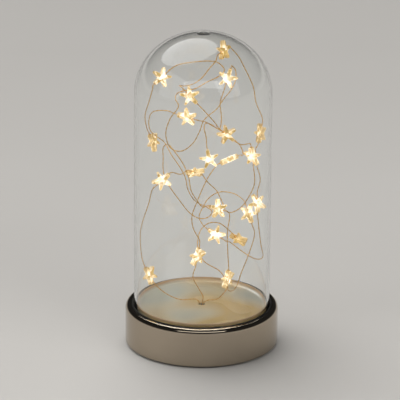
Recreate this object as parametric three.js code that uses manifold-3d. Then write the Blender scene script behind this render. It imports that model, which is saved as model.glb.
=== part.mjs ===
// LED glass dome light: a clear dome on a chrome base, with a copper light string and star caps inside.
// Millimetres, +Z up, -Y the front. The origin lies on the table under the middle of the base.
import * as THREE from 'three';
import { mergeVertices } from 'three/addons/utils/BufferGeometryUtils.js';
import Module from 'manifold-3d';

const wasm = await Module();
wasm.setup();

// Driving dimensions: fits
const SEAT_GAP = 0.3;           // between two pieces that touch
const PLUG_GAP = 0.65;          // dome's inside to the plug that centres it
const TRAY_GAP = 0.35;          // tray's rim to the dome's inside
const PLATE_GAP = 0.4;          // bottom plate to the housing wall
const DOOR_GAP = 0.4;           // battery door to its opening
const LATCH_GAP = 0.6;          // door's free edge to its opening
const WIRE_PLAY = 0.4;          // light wire to the hole in a star's tip

// Driving dimensions: glass dome and its gasket
const DOME_RADIUS = 53.25;
const DOME_WALL = 2;
const DOME_STRAIGHT = 178.8;    // height of the straight wall
const CROWN_RISE = 48.1;
const DOME_FOOT_CHAMFER = 0.6;
const PIP_RADIUS = 3.5;
const PIP_RISE = 0.5;
const GASKET_WIDTH = 1.45;
const GASKET_PROUD = 0.5;       // above the housing's crest

// Driving dimensions: base housing and mirror tray
const CREST_WIDTH = 1.3;
const CREST_ROUND = 0.5;
const CREST_ABOVE_TRAY = 0.8;
const SHOULDER_WIDTH = 3.4;
const SHOULDER_RISE = 3.8;
const BOTTOM_EDGE_ROUND = 0.8;
const HOUSING_WALL = 2.4;
const HOUSING_SKIN = 2;
const HOUSING_LIP = 0.3;        // housing wall below the bottom plate
const GROOVE_DEPTH = 6.1;
const SHELF_WIDTH = 6.6;
const TRAY_THICKNESS = 1;
const TRAY_RIM = 0.6;
const COVE_WIDTH = 3;
const COVE_RISE = 3;
const WIRE_HOLE_RADIUS = 2.8;

// Driving dimensions: bottom plate, battery tub and door
const FOOT_STAND = 1.8;         // bottom plate above the table
const PLATE_THICKNESS = 2.6;
const TUB_WALL = 1.6;
const TUB_SIDE_PLAY = 0.2;
const CELL_HEADROOM = 0.4;
const DOOR_INSET = 0.3;
const DOOR_THICKNESS = 1.8;
const BARREL_RADIUS = 1.1;
const PIN_RADIUS = 0.6;
const PIN_LENGTH = 2;
const TONGUE_WIDTH = 8;
const TONGUE_THICKNESS = 0.8;
const TONGUE_HEIGHT = 2.5;
const NOTCH_LENGTH = 12;
const NOTCH_WIDTH = 2;
const NOTCH_DEPTH = 0.7;
const NOTCH_INSET = 2;

// Driving dimensions: cells, springs and contacts
const CELL_DIAMETER = 14.5;
const CELL_LENGTH = 50.5;
const CELL_SPACING = 0.4;
const CELL_NUB_RADIUS = 2.7;
const CELL_NUB_LENGTH = 1;
const CELL_EDGE = 0.5;
const SPRING_LENGTH = 6;
const SPRING_WIRE = 0.7;
const SPRING_WIDE_RADIUS = 4.4;
const SPRING_NARROW_RADIUS = 3;
const SPRING_TURNS = 3;
const CONTACT_THICKNESS = 0.5;
const CONTACT_WIDTH = 11;
const CONTACT_HEIGHT = 11;
const TAB_WIDTH = 3.2;
const TAB_RISE = 3;             // solder tab above the tub's roof

// Driving dimensions: switch, control board and leads
const SWITCH_INSET = 19.05;     // switch centre from the plate's edge
const SWITCH_LENGTH = 13;
const SWITCH_WIDTH = 7;
const SWITCH_HEIGHT = 5.5;
const KNOB_LENGTH = 3.6;
const KNOB_WIDTH = 3.2;
const KNOB_TRAVEL = 4;
const KNOB_PROUD = 0.9;         // knob below the bottom plate
const KNOB_RIDGES = 3;
const STEM_DEPTH = 1.6;         // stem inside the switch body
const SLOT_GAP = 0.4;
const BOARD_LENGTH = 26;
const BOARD_DEPTH = 18;
const BOARD_THICKNESS = 1.6;
const BOARD_CORNER = 1.5;
const BOARD_STANDOFF = 2.1;
const STANDOFF_RADIUS = 2.5;
const STANDOFF_SPREAD = 18;
const RESISTOR_RADIUS = 1.2;
const RESISTOR_LENGTH = 6.3;
const RESISTOR_LEAD_RADIUS = 0.35;
const RESISTOR_LEAD = 3;
const RESISTOR_BACK = 5.5;      // behind the middle of the board
const LEAD_RADIUS = 0.7;

// Driving dimensions: fasteners and feet
const SCREW_COUNT = 3;
const SCREW_RADIUS = 1.3;
const SCREW_LENGTH = 10;
const SCREW_HEAD_RADIUS = 2.8;
const SCREW_HEAD_HEIGHT = 1.3;
const BOSS_RADIUS = 3.2;
const BOSS_INSET = 1.9;         // boss to the inside of the housing wall
const FOOT_COUNT = 4;
const FOOT_RADIUS = 5;
const FOOT_INSET = 6;           // foot's edge to the plate's edge
const FOOT_RECESS = 0.7;
const FOOT_CHAMFER = 0.6;

// Driving dimensions: light string and star caps
const WIRE_RADIUS = 0.45;
const WIRE_TAIL = 6;            // wire below the tray, down to the control board
const WIRE_STEP = 8;            // at most this far from ring to ring
const WIRE_TURN = 26;           // or this bend, in degrees
const BEAD_RADIUS = 1;
const BEAD_LENGTH = 4.4;
const STAR_RADIUS = 7.7;
const STAR_NOTCH_RADIUS = 2.9;
const STAR_TIP_WIDTH = 2.3;     // the tip that the wire goes through
const STAR_POINT_WIDTH = 1.3;   // the other four
const STAR_THICKNESS = 4.2;
const STAR_POINTS = 5;
const STRAIGHT_NEAR = 6;        // the wire runs straight through a star for this far
const STRAIGHT_FAR = 9.5;       // from its middle, and bends away from here on

// Facets
const ROUND = 48;
const SMALL_ROUND = 16;
const CROWN_ARC_STEPS = 5;
const SMALL_ARC_STEPS = 3;
const WIRE_SIDES = 6;
const SPRING_SIDES = 5;
const CURL_STEPS = 8;

// Heights, from the table up
const plateBottom = FOOT_STAND;
const plateTop = plateBottom + PLATE_THICKNESS;
const doorBottom = plateBottom + DOOR_INSET;
const doorTop = doorBottom + DOOR_THICKNESS;
const cellAxisZ = doorTop + SEAT_GAP + CELL_DIAMETER / 2;
const roofUnder = cellAxisZ + CELL_DIAMETER / 2 + CELL_HEADROOM;
const roofTop = roofUnder + TUB_WALL;
const boardBottom = roofTop + BOARD_STANDOFF + SEAT_GAP;
const boardTop = boardBottom + BOARD_THICKNESS;
const trayFloor = boardTop + SEAT_GAP + WIRE_TAIL;
const shelfTop = trayFloor - TRAY_THICKNESS - SEAT_GAP;
const crestZ = trayFloor + CREST_ABOVE_TRAY;
const shoulderZ = crestZ - SHOULDER_RISE;
const grooveFloor = crestZ - GROOVE_DEPTH;
const domeFoot = grooveFloor + SEAT_GAP;
const straightTop = domeFoot + DOME_STRAIGHT;
const housingBottom = plateBottom - HOUSING_LIP;

// Radii, from the dome outwards and inwards
const domeInner = DOME_RADIUS - DOME_WALL;
const gasketInner = DOME_RADIUS + SEAT_GAP;
const gasketOuter = gasketInner + GASKET_WIDTH;
const grooveOuter = gasketOuter + SEAT_GAP;
const baseRadius = grooveOuter + CREST_WIDTH + SHOULDER_WIDTH;
const wallInner = baseRadius - HOUSING_WALL;
const plateRadius = wallInner - PLATE_GAP;
const plugOuter = domeInner - PLUG_GAP;
const trayOuter = domeInner - TRAY_GAP;
const screwCircle = wallInner - BOSS_INSET - BOSS_RADIUS;
const footCircle = plateRadius - FOOT_INSET - FOOT_RADIUS;

// Battery tub, half sizes inside
const cellPitch = CELL_DIAMETER + CELL_SPACING;
const tubX = (CELL_LENGTH + SPRING_LENGTH + 2 * CONTACT_THICKNESS + 5 * SEAT_GAP) / 2;
const tubY = (3 * cellPitch) / 2 + TUB_SIDE_PLAY;
const hingeY = tubY - BARREL_RADIUS - DOOR_GAP;
const hingeZ = (doorBottom + doorTop) / 2;
const contactX = tubX - SEAT_GAP - CONTACT_THICKNESS / 2;
const switchY = -(plateRadius - SWITCH_INSET);
const switchBottom = plateTop + SEAT_GAP;
const switchTop = switchBottom + SWITCH_HEIGHT;
const slotLength = KNOB_LENGTH + KNOB_TRAVEL + 2 * SLOT_GAP;
const slotWidth = KNOB_WIDTH + 2 * SLOT_GAP;

const part = new THREE.Group();

const finish = (color, roughness, metalness) => (
  new THREE.MeshStandardMaterial({ color, roughness, metalness })
);
const glass = new THREE.MeshStandardMaterial({
  color: 0xeef3f3, roughness: 0.03, metalness: 0, transparent: true, opacity: 0.25,
});
const starAcrylic = new THREE.MeshStandardMaterial({
  color: 0xfff0d0, roughness: 0.1, metalness: 0, emissive: 0xffc070, emissiveIntensity: 0.8,
});
const chrome = finish(0xc8c4bd, 0.12, 1);
const mirror = finish(0xd9d6cc, 0.18, 1);
const blackRubber = finish(0x161514, 0.75, 0);
const darkPlastic = finish(0x2a2927, 0.5, 0);
const steel = finish(0xb5b2aa, 0.3, 1);
const copper = finish(0xb98a52, 0.35, 1);
const boardGreen = finish(0x2f5d3a, 0.5, 0);
const cellSleeve = finish(0x5b6470, 0.4, 0.2);
const resistorTan = finish(0xc9b07c, 0.6, 0);
const redPvc = finish(0x8f1f1c, 0.5, 0);
const blackPvc = finish(0x1b1b1b, 0.5, 0);

// Adds one named sub-part.
function piece(name, geometry, material) {
  const mesh = new THREE.Mesh(geometry, material);
  mesh.name = name;
  part.add(mesh);
  return mesh;
}

// Shares equal corners and drops the triangles that have no area, such as those at a pole.
function weld(geometry) {
  const bare = geometry.clone();
  bare.deleteAttribute('normal');
  bare.deleteAttribute('uv');
  const merged = mergeVertices(bare, 1e-4);
  const index = merged.index.array;
  const kept = [];
  for (let i = 0; i < index.length; i += 3) {
    const [a, b, c] = [index[i], index[i + 1], index[i + 2]];
    if (a !== b && b !== c && c !== a) kept.push(a, b, c);
  }
  merged.setIndex(kept);
  return merged;
}

function toSolid(geometry) {
  const closed = weld(geometry);
  return new wasm.Manifold(new wasm.Mesh({
    numProp: 3,
    vertProperties: new Float32Array(closed.attributes.position.array),
    triVerts: new Uint32Array(closed.index.array),
  }));
}

function toGeometry(manifold) {
  const mesh = manifold.getMesh();
  const geometry = new THREE.BufferGeometry();
  geometry.setAttribute('position', new THREE.BufferAttribute(mesh.vertProperties, 3));
  geometry.setIndex(new THREE.BufferAttribute(mesh.triVerts, 1));
  return geometry;
}

// Turns an outline of radius and height about Z. The outline runs anticlockwise round its material.
function turned(path, segments = ROUND, arcSteps = SMALL_ARC_STEPS) {
  const geometry = new THREE.LatheGeometry(path.getPoints(arcSteps), segments);
  return weld(geometry.rotateX(Math.PI / 2));
}

function outline(points) {
  const path = new THREE.Path();
  path.moveTo(...points[0]);
  for (const point of points.slice(1)) path.lineTo(...point);
  return path;
}

function block(low, high) {
  const size = high.map((value, i) => value - low[i]);
  const middle = high.map((value, i) => (value + low[i]) / 2);
  return new THREE.BoxGeometry(...size).translate(...middle);
}

// A round rod along Z.
function rod(radius, low, high, x = 0, y = 0) {
  const geometry = new THREE.CylinderGeometry(radius, radius, high - low, SMALL_ROUND);
  return geometry.rotateX(Math.PI / 2).translate(x, y, (low + high) / 2);
}

// A round rod along X.
function crossRod(radius, low, high, y, z) {
  const geometry = new THREE.CylinderGeometry(radius, radius, high - low, SMALL_ROUND);
  return geometry.rotateZ(-Math.PI / 2).translate((low + high) / 2, y, z);
}

// A round tube through rings of { middle, tangent, radius }, closed at both ends.
function tube(rings, sides) {
  const positions = [];
  const index = [];
  let normal = new THREE.Vector3(0.3, 0.5, 0.8);
  for (const { middle, tangent, radius } of rings) {
    normal = normal.clone().addScaledVector(tangent, -normal.dot(tangent)).normalize();
    const side = new THREE.Vector3().crossVectors(tangent, normal);
    for (let k = 0; k < sides; k += 1) {
      const angle = (2 * Math.PI * k) / sides;
      const corner = middle.clone();
      corner.addScaledVector(normal, radius * Math.cos(angle));
      corner.addScaledVector(side, radius * Math.sin(angle));
      positions.push(...corner);
    }
  }
  const last = rings.length - 1;
  for (let i = 0; i < last; i += 1) {
    for (let k = 0; k < sides; k += 1) {
      const a = i * sides + k;
      const b = i * sides + ((k + 1) % sides);
      index.push(a, b, a + sides, b, b + sides, a + sides);
    }
  }
  for (let k = 1; k < sides - 1; k += 1) {
    index.push(0, k + 1, k);
    index.push(last * sides, last * sides + k, last * sides + k + 1);
  }
  const geometry = new THREE.BufferGeometry();
  geometry.setAttribute('position', new THREE.Float32BufferAttribute(positions, 3));
  geometry.setIndex(index);
  return geometry;
}

// Rings with more put in between, in straight lines.
function finerRings(rings) {
  const parts = 4;
  return rings.slice(1).flatMap((ring, i) => Array.from({ length: parts }, (_, k) => ({
    middle: rings[i].middle.clone().lerp(ring.middle, k / parts),
    radius: THREE.MathUtils.lerp(rings[i].radius, ring.radius, k / parts),
    along: THREE.MathUtils.lerp(rings[i].along, ring.along, k / parts),
  })));
}

// The least clear space between stretches of tube that are more than `apart` from each other along it.
function leastGap(rings, others, apart) {
  let least = Infinity;
  const finer = finerRings(others);
  for (const one of finerRings(rings)) {
    for (const two of finer) {
      if (rings === others && Math.abs(one.along - two.along) < apart) continue;
      const gap = one.middle.distanceTo(two.middle) - one.radius - two.radius;
      least = Math.min(least, gap);
    }
  }
  return least;
}

// Glass dome: straight wall, elliptical crown, and the moulding pip at its top.
const domeTop = straightTop + CROWN_RISE;
const pipFoot = Math.acos((1.3 * PIP_RADIUS) / DOME_RADIUS);
const domePath = new THREE.Path();
domePath.moveTo(0, domeTop - DOME_WALL);
domePath.absellipse(0, straightTop, domeInner, CROWN_RISE - DOME_WALL, Math.PI / 2, 0, true);
domePath.lineTo(domeInner, domeFoot + DOME_FOOT_CHAMFER);
domePath.lineTo(domeInner + DOME_FOOT_CHAMFER, domeFoot);
domePath.lineTo(DOME_RADIUS - DOME_FOOT_CHAMFER, domeFoot);
domePath.lineTo(DOME_RADIUS, domeFoot + DOME_FOOT_CHAMFER);
domePath.lineTo(DOME_RADIUS, straightTop);
domePath.absellipse(0, straightTop, DOME_RADIUS, CROWN_RISE, 0, pipFoot, false);
domePath.lineTo(PIP_RADIUS, domeTop + PIP_RISE);
domePath.lineTo(0, domeTop + PIP_RISE);
piece('glass_dome', turned(domePath, ROUND, CROWN_ARC_STEPS), glass);

// Gasket: a rubber ring in the groove, with a rounded top edge.
const gasketTop = crestZ + GASKET_PROUD;
const gasketRound = GASKET_WIDTH / 2;
const gasketPath = new THREE.Path();
gasketPath.moveTo(gasketInner, domeFoot);
gasketPath.lineTo(gasketOuter, domeFoot);
gasketPath.lineTo(gasketOuter, gasketTop - gasketRound);
gasketPath.absarc(gasketInner + gasketRound, gasketTop - gasketRound, gasketRound, 0, Math.PI, false);
gasketPath.lineTo(gasketInner, domeFoot);
piece('dome_gasket', turned(gasketPath), blackRubber);

// Base housing: wall, rounded shoulder, crest, dome groove, centring plug, tray shelf and screw bosses.
const housingPath = new THREE.Path();
const shelfInner = plugOuter - SHELF_WIDTH;
const plugInner = plugOuter - HOUSING_SKIN;
const grooveUnder = grooveFloor - HOUSING_SKIN;
housingPath.moveTo(wallInner, housingBottom);
housingPath.lineTo(baseRadius - BOTTOM_EDGE_ROUND, housingBottom);
housingPath.absarc(
  baseRadius - BOTTOM_EDGE_ROUND, housingBottom + BOTTOM_EDGE_ROUND, BOTTOM_EDGE_ROUND,
  -Math.PI / 2, 0, false,
);
housingPath.lineTo(baseRadius, shoulderZ);
housingPath.absellipse(
  baseRadius - SHOULDER_WIDTH, shoulderZ, SHOULDER_WIDTH, SHOULDER_RISE, 0, Math.PI / 2, false,
);
housingPath.lineTo(grooveOuter + CREST_ROUND, crestZ);
housingPath.absarc(
  grooveOuter + CREST_ROUND, crestZ - CREST_ROUND, CREST_ROUND, Math.PI / 2, Math.PI, false,
);
housingPath.lineTo(grooveOuter, grooveFloor);
housingPath.lineTo(plugOuter, grooveFloor);
housingPath.lineTo(plugOuter, shelfTop);
housingPath.lineTo(shelfInner, shelfTop);
housingPath.lineTo(shelfInner, shelfTop - HOUSING_SKIN);
housingPath.lineTo(plugInner, shelfTop - HOUSING_SKIN);
housingPath.lineTo(plugInner, grooveUnder);
housingPath.lineTo(wallInner, grooveUnder);
housingPath.lineTo(wallInner, housingBottom);
const screwHeadTop = plateBottom + SCREW_HEAD_HEIGHT;
const screwTop = screwHeadTop + SCREW_LENGTH;
const screwPlaces = Array.from({ length: SCREW_COUNT }, (_, i) => {
  const angle = Math.PI / 2 + (2 * Math.PI * i) / SCREW_COUNT;
  return [screwCircle * Math.cos(angle), screwCircle * Math.sin(angle)];
});
let housing = toSolid(turned(housingPath));
for (const [x, y] of screwPlaces) {
  const bossTop = grooveUnder + HOUSING_SKIN / 2;
  housing = housing.add(toSolid(rod(BOSS_RADIUS, plateTop + SEAT_GAP, bossTop, x, y)));
  housing = housing.subtract(toSolid(rod(SCREW_RADIUS + SEAT_GAP, plateTop, screwTop + SEAT_GAP, x, y)));
}
piece('base_housing', toGeometry(housing), chrome);

// Mirror tray: a flat floor with a coved rim, and the hole that the light string comes out of.
const trayUnder = trayFloor - TRAY_THICKNESS;
const trayRimInner = trayOuter - TRAY_RIM;
const coveFoot = trayRimInner - COVE_WIDTH;
const trayPath = new THREE.Path();
trayPath.moveTo(WIRE_HOLE_RADIUS, trayUnder);
trayPath.lineTo(trayOuter, trayUnder);
trayPath.lineTo(trayOuter, trayFloor + COVE_RISE);
trayPath.lineTo(trayRimInner, trayFloor + COVE_RISE);
trayPath.absellipse(coveFoot, trayFloor + COVE_RISE, COVE_WIDTH, COVE_RISE, 0, -Math.PI / 2, true);
trayPath.lineTo(WIRE_HOLE_RADIUS, trayFloor);
trayPath.lineTo(WIRE_HOLE_RADIUS, trayUnder);
piece('mirror_tray', turned(trayPath), mirror);

// Bottom plate: disc, battery tub, standoffs, screw holes, foot recesses, switch slot and hinge bores.
const footPlaces = Array.from({ length: FOOT_COUNT }, (_, i) => {
  const angle = Math.PI / 4 + (2 * Math.PI * i) / FOOT_COUNT;
  return [footCircle * Math.cos(angle), footCircle * Math.sin(angle)];
});
const through = PLATE_THICKNESS;
const plateDisc = outline([
  [0, plateBottom], [plateRadius, plateBottom], [plateRadius, plateTop], [0, plateTop],
]);
let plate = toSolid(turned(plateDisc));
plate = plate.add(toSolid(block(
  [-tubX - TUB_WALL, -tubY - TUB_WALL, plateBottom + PLATE_THICKNESS / 2],
  [tubX + TUB_WALL, tubY + TUB_WALL, roofTop],
)));
plate = plate.subtract(toSolid(block([-tubX, -tubY, plateBottom - through], [tubX, tubY, roofUnder])));
for (const side of [-1, 1]) {
  const standoffX = (side * STANDOFF_SPREAD) / 2;
  const standoffFoot = roofUnder + TUB_WALL / 2;
  plate = plate.add(toSolid(rod(STANDOFF_RADIUS, standoffFoot, roofTop + BOARD_STANDOFF, standoffX, 0)));
  const tabX = side * contactX;
  const tabHalf = TAB_WIDTH / 2 + SEAT_GAP;
  const tabDepth = CONTACT_THICKNESS / 2 + SEAT_GAP;
  plate = plate.subtract(toSolid(block(
    [tabX - tabDepth, side * cellPitch - tabHalf, roofUnder - through],
    [tabX + tabDepth, side * cellPitch + tabHalf, roofTop + through],
  )));
}
plate = plate.subtract(toSolid(crossRod(
  PIN_RADIUS + SEAT_GAP, -tubX - PIN_LENGTH, tubX + PIN_LENGTH, hingeY, hingeZ,
)));
for (const [x, y] of screwPlaces) {
  plate = plate.subtract(toSolid(
    rod(SCREW_RADIUS + SEAT_GAP, plateBottom - through, plateTop + through, x, y),
  ));
  plate = plate.subtract(toSolid(
    rod(SCREW_HEAD_RADIUS + SEAT_GAP, plateBottom - through, screwHeadTop + SEAT_GAP, x, y),
  ));
}
for (const [x, y] of footPlaces) {
  plate = plate.subtract(toSolid(
    rod(FOOT_RADIUS + SEAT_GAP, plateBottom - through, plateBottom + FOOT_RECESS, x, y),
  ));
}
plate = plate.subtract(toSolid(block(
  [-slotLength / 2, switchY - slotWidth / 2, plateBottom - through],
  [slotLength / 2, switchY + slotWidth / 2, plateTop + through],
)));
piece('bottom_plate', toGeometry(plate), darkPlastic);

// Battery door: panel, hinge barrel with its pins, latch tongue and finger notch.
const doorX = tubX - DOOR_GAP;
const doorFront = -tubY + LATCH_GAP;
let door = toSolid(block([-doorX, doorFront, doorBottom], [doorX, hingeY, doorTop]));
door = door.add(toSolid(crossRod(BARREL_RADIUS, -doorX, doorX, hingeY, hingeZ)));
door = door.add(toSolid(crossRod(
  PIN_RADIUS, -tubX - PIN_LENGTH + SEAT_GAP, tubX + PIN_LENGTH - SEAT_GAP, hingeY, hingeZ,
)));
door = door.add(toSolid(block(
  [-TONGUE_WIDTH / 2, doorFront, doorTop - DOOR_THICKNESS / 2],
  [TONGUE_WIDTH / 2, doorFront + TONGUE_THICKNESS, doorTop + TONGUE_HEIGHT],
)));
door = door.subtract(toSolid(block(
  [-NOTCH_LENGTH / 2, doorFront + NOTCH_INSET, doorBottom - DOOR_THICKNESS],
  [NOTCH_LENGTH / 2, doorFront + NOTCH_INSET + NOTCH_WIDTH, doorBottom + NOTCH_DEPTH],
)));
piece('battery_door', toGeometry(door), darkPlastic);

// Cells: each lies along X, and the three point to and fro. Local Z runs from a cell's flat end to its nub.
const cellRadius = CELL_DIAMETER / 2;
const cellBody = CELL_LENGTH - CELL_NUB_LENGTH;
const cellGeometry = turned(outline([
  [0, 0], [cellRadius - CELL_EDGE, 0], [cellRadius, CELL_EDGE], [cellRadius, cellBody - CELL_EDGE],
  [cellRadius - CELL_EDGE, cellBody], [CELL_NUB_RADIUS, cellBody], [CELL_NUB_RADIUS, CELL_LENGTH],
  [0, CELL_LENGTH],
]), SMALL_ROUND);
const nubX = contactX - CONTACT_THICKNESS / 2 - SEAT_GAP;
const cellStart = CELL_LENGTH - nubX;       // the negative end, from the middle

// Springs: a conical helix, wide at the contact plate.
const springRings = [];
const springRise = SPRING_LENGTH - SPRING_WIRE;
const springSteps = SPRING_TURNS * CURL_STEPS;
function springPoint(share) {
  const angle = 2 * Math.PI * SPRING_TURNS * share;
  const radius = THREE.MathUtils.lerp(SPRING_WIDE_RADIUS, SPRING_NARROW_RADIUS, share);
  const rise = SPRING_WIRE / 2 + springRise * share;
  return new THREE.Vector3(radius * Math.cos(angle), radius * Math.sin(angle), rise);
}
let springAlong = 0;
for (let i = 0; i <= springSteps; i += 1) {
  const share = i / springSteps;
  const middle = springPoint(share);
  if (i > 0) springAlong += middle.distanceTo(springRings[i - 1].middle);
  const ahead = springPoint(share + 0.5 / springSteps);
  const tangent = ahead.sub(springPoint(share - 0.5 / springSteps)).normalize();
  springRings.push({ middle, tangent, radius: SPRING_WIRE / 2, along: springAlong });
}
const springGeometry = tube(springRings, SPRING_SIDES);
const springGap = leastGap(springRings, springRings, Math.PI * SPRING_NARROW_RADIUS);
console.log(`battery spring: least gap to itself ${springGap.toFixed(2)} mm`);

for (let i = 0; i < 3; i += 1) {
  const forward = i === 1 ? -1 : 1;         // which way along X the positive nub points
  const y = (i - 1) * cellPitch;
  const cell = piece(`aa_cell_${i + 1}`, cellGeometry, cellSleeve);
  cell.rotation.y = (forward * Math.PI) / 2;
  cell.position.set(-forward * cellStart, y, cellAxisZ);
  const spring = piece(`battery_spring_${i + 1}`, springGeometry, steel);
  spring.rotation.y = (forward * Math.PI) / 2;
  spring.position.set(-forward * nubX, y, cellAxisZ);
}

// Contacts: a plate with a solder tab at each end of the series, and bridges over two cells.
function contactPlate(name, x, yLow, yHigh) {
  const half = CONTACT_THICKNESS / 2;
  const low = [x - half, yLow - CONTACT_WIDTH / 2, cellAxisZ - CONTACT_HEIGHT / 2];
  const high = [x + half, yHigh + CONTACT_WIDTH / 2, cellAxisZ + CONTACT_HEIGHT / 2];
  let solid = toSolid(block(low, high));
  if (yLow === yHigh) {
    solid = solid.add(toSolid(block(
      [x - half, yLow - TAB_WIDTH / 2, cellAxisZ], [x + half, yLow + TAB_WIDTH / 2, roofTop + TAB_RISE],
    )));
  }
  piece(name, toGeometry(solid), steel);
}
contactPlate('contact_terminal_1', -contactX, -cellPitch, -cellPitch);
contactPlate('contact_bridge_1', -contactX, 0, cellPitch);
contactPlate('contact_bridge_2', contactX, -cellPitch, 0);
contactPlate('contact_terminal_2', contactX, cellPitch, cellPitch);

// Switch: a body on the plate, and a ridged knob whose stem comes up through the slot.
const stemTop = switchBottom + STEM_DEPTH;
let switchBody = toSolid(block(
  [-SWITCH_LENGTH / 2, switchY - SWITCH_WIDTH / 2, switchBottom],
  [SWITCH_LENGTH / 2, switchY + SWITCH_WIDTH / 2, switchTop],
));
switchBody = switchBody.subtract(toSolid(block(
  [-slotLength / 2, switchY - slotWidth / 2, switchBottom - through],
  [slotLength / 2, switchY + slotWidth / 2, stemTop + SEAT_GAP],
)));
piece('switch_body', toGeometry(switchBody), darkPlastic);
const knobBottom = plateBottom - KNOB_PROUD;
const ridgePitch = KNOB_LENGTH / (2 * KNOB_RIDGES - 1);
const ridgeDepth = KNOB_PROUD / 2;
const knobShape = new THREE.Shape();
knobShape.moveTo(-KNOB_LENGTH / 2, stemTop);
for (let i = 0; i < KNOB_RIDGES; i += 1) {
  const left = -KNOB_LENGTH / 2 + 2 * i * ridgePitch;
  if (i > 0) knobShape.lineTo(left, knobBottom + ridgeDepth);
  knobShape.lineTo(left, knobBottom);
  knobShape.lineTo(left + ridgePitch, knobBottom);
  if (i < KNOB_RIDGES - 1) knobShape.lineTo(left + ridgePitch, knobBottom + ridgeDepth);
}
knobShape.lineTo(KNOB_LENGTH / 2, stemTop);
const knobGeometry = new THREE.ExtrudeGeometry(knobShape, { depth: KNOB_WIDTH, bevelEnabled: false });
knobGeometry.rotateX(Math.PI / 2).translate(0, KNOB_WIDTH / 2, 0);
const knob = piece('switch_knob', weld(knobGeometry), finish(0xd8d5cc, 0.5, 0));
knob.position.set(-KNOB_TRAVEL / 2, switchY, 0);

// Control board on its two standoffs, with the resistor behind the place where the light wires land.
const boardShape = new THREE.Shape();
const boardX = BOARD_LENGTH / 2;
const boardY = BOARD_DEPTH / 2;
boardShape.moveTo(-boardX + BOARD_CORNER, -boardY);
boardShape.absarc(boardX - BOARD_CORNER, -boardY + BOARD_CORNER, BOARD_CORNER, -Math.PI / 2, 0, false);
boardShape.absarc(boardX - BOARD_CORNER, boardY - BOARD_CORNER, BOARD_CORNER, 0, Math.PI / 2, false);
boardShape.absarc(-boardX + BOARD_CORNER, boardY - BOARD_CORNER, BOARD_CORNER, Math.PI / 2, Math.PI, false);
boardShape.absarc(
  -boardX + BOARD_CORNER, -boardY + BOARD_CORNER, BOARD_CORNER, Math.PI, 1.5 * Math.PI, false,
);
const boardGeometry = new THREE.ExtrudeGeometry(boardShape, {
  depth: BOARD_THICKNESS, bevelEnabled: false, curveSegments: 3,
});
piece('control_board', weld(boardGeometry), boardGreen).position.z = boardBottom;
const resistorHalf = RESISTOR_LENGTH / 2;
const resistorReach = resistorHalf + RESISTOR_LEAD;
const resistor = piece('dropper_resistor', turned(outline([
  [0, -resistorReach], [RESISTOR_LEAD_RADIUS, -resistorReach], [RESISTOR_LEAD_RADIUS, -resistorHalf],
  [RESISTOR_RADIUS, -resistorHalf], [RESISTOR_RADIUS, resistorHalf], [RESISTOR_LEAD_RADIUS, resistorHalf],
  [RESISTOR_LEAD_RADIUS, resistorReach], [0, resistorReach],
]), SMALL_ROUND / 2), resistorTan);
resistor.rotation.y = Math.PI / 2;
resistor.position.set(0, RESISTOR_BACK, boardTop + SEAT_GAP + RESISTOR_RADIUS);

// Leads inside the base: from a solder tab or the switch, over the tub's roof, to the board.
const tabClear = contactX - CONTACT_THICKNESS / 2 - SEAT_GAP - LEAD_RADIUS;
const roofRun = roofTop + 2 * LEAD_RADIUS;
const boardRun = boardTop + SEAT_GAP + LEAD_RADIUS;
const leadTop = switchTop + SEAT_GAP;
const tubFront = -tubY - TUB_WALL;
const switchLeadX = 4;
const boardLeadX = -6;
const leads = {
  lead_battery: [redPvc, [
    [tabClear, cellPitch + 1, roofRun], [tabClear, cellPitch - 7, roofRun], [24, -4, roofRun],
    [17, -15, roofRun], [9, tubFront - 1, roofRun], [switchLeadX + 1, tubFront - 7, roofRun - 5],
    [switchLeadX, switchY + 1, leadTop + 4], [switchLeadX, switchY, leadTop],
  ]],
  lead_switch: [redPvc, [
    [-switchLeadX, switchY, leadTop], [-switchLeadX, switchY + 1, leadTop + 4],
    [-5, tubFront - 6, roofRun - 4], [boardLeadX, tubFront, roofRun + 1],
    [boardLeadX, -boardY - 5, boardRun], [boardLeadX, -boardY - 1, boardRun + 0.3],
    [boardLeadX, -boardY + 3, boardRun],
  ]],
  lead_return: [blackPvc, [
    [-tabClear, -cellPitch - 1, roofRun], [-tabClear, -cellPitch + 6, roofRun], [-24, -3, roofRun],
    [-19, 0, boardRun - 1.5], [-boardX - 2, 0.5, boardRun], [-boardX + 2.5, 0.5, boardRun],
  ]],
};
const LEAD_STEPS = 16;
for (const [name, [material, points]] of Object.entries(leads)) {
  const places = points.map((point) => new THREE.Vector3(...point));
  const curve = new THREE.CatmullRomCurve3(places, false, 'centripetal');
  const rings = Array.from({ length: LEAD_STEPS + 1 }, (_, i) => {
    const share = i / LEAD_STEPS;
    return { middle: curve.getPointAt(share), tangent: curve.getTangentAt(share), radius: LEAD_RADIUS };
  });
  piece(name, tube(rings, WIRE_SIDES), material);
}

// Screws up through the plate into the bosses, and the feet in their recesses.
const screwGeometry = turned(outline([
  [0, plateBottom], [SCREW_HEAD_RADIUS, plateBottom], [SCREW_HEAD_RADIUS, screwHeadTop],
  [SCREW_RADIUS, screwHeadTop], [SCREW_RADIUS, screwTop - SCREW_RADIUS], [0, screwTop],
]), SMALL_ROUND);
screwPlaces.forEach(([x, y], i) => {
  piece(`plate_screw_${i + 1}`, screwGeometry, steel).position.set(x, y, 0);
});
const footTop = plateBottom + FOOT_RECESS - SEAT_GAP;
const footGeometry = turned(outline([
  [0, 0], [FOOT_RADIUS - FOOT_CHAMFER, 0], [FOOT_RADIUS, FOOT_CHAMFER], [FOOT_RADIUS, footTop],
  [0, footTop],
]), SMALL_ROUND);
footPlaces.forEach(([x, y], i) => {
  piece(`rubber_foot_${i + 1}`, footGeometry, blackRubber).position.set(x, y, 0);
});

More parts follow.
